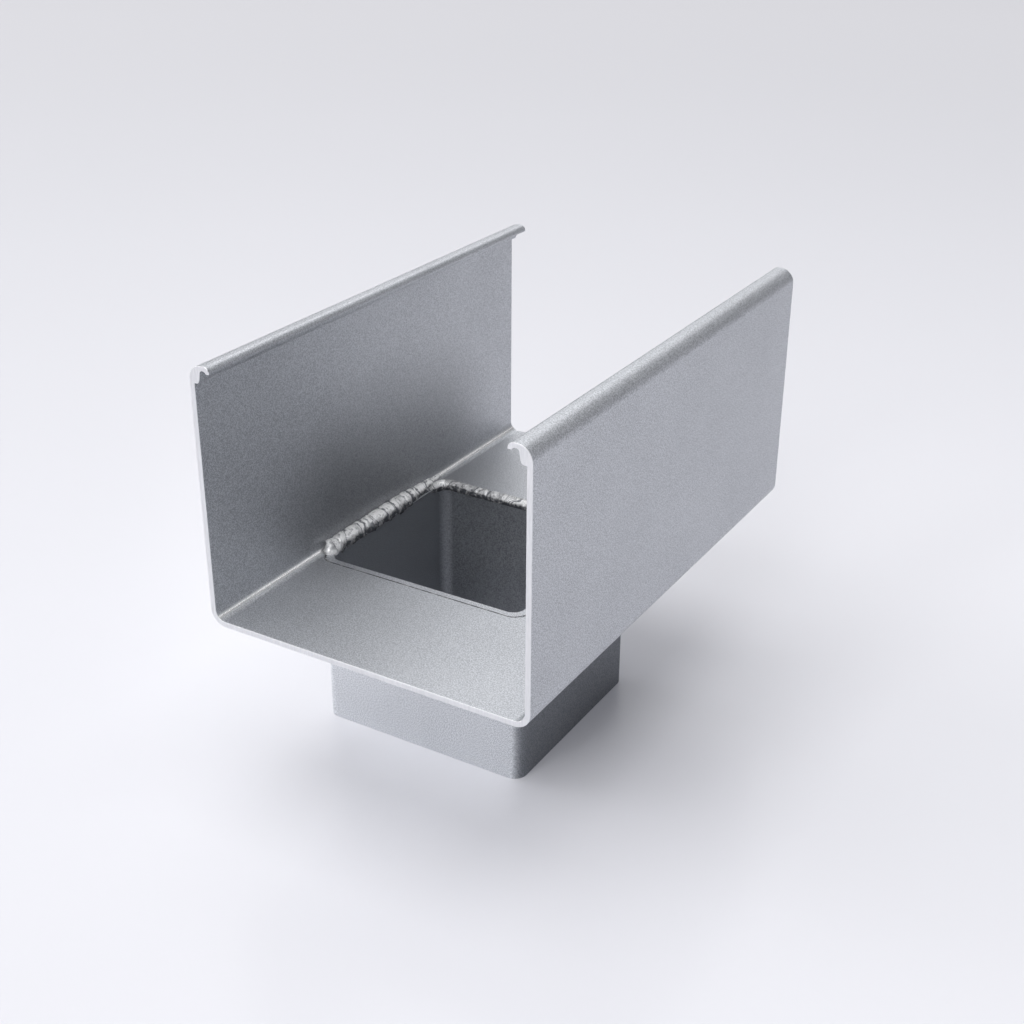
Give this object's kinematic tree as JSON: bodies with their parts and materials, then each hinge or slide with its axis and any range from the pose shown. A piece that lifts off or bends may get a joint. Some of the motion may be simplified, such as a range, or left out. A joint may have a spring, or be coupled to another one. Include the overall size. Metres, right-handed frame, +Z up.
{
  "type": "box gutter outlet",
  "caption": "Straight length of U-shaped aluminium box gutter with nosed rims and a near-square outlet spigot welded through its sole.",
  "frame": {"origin": "middle of the gutter length in plan, at the height of the spigot's lower rim", "axes": "+X across the gutter, away from the wall that the spigot is welded beside; +Y along the gutter; +Z up"},
  "size_m": [0.1, 0.155, 0.127],
  "materials": {
    "mill_aluminium": "satin, finely grained",
    "weld_metal": "bright, rippled"
  },
  "bodies": {
    "root": {"gutter_trough": "mill_aluminium", "outlet_spigot": "mill_aluminium", "weld_bead": "weld_metal"}
  },
  "joints": []
}
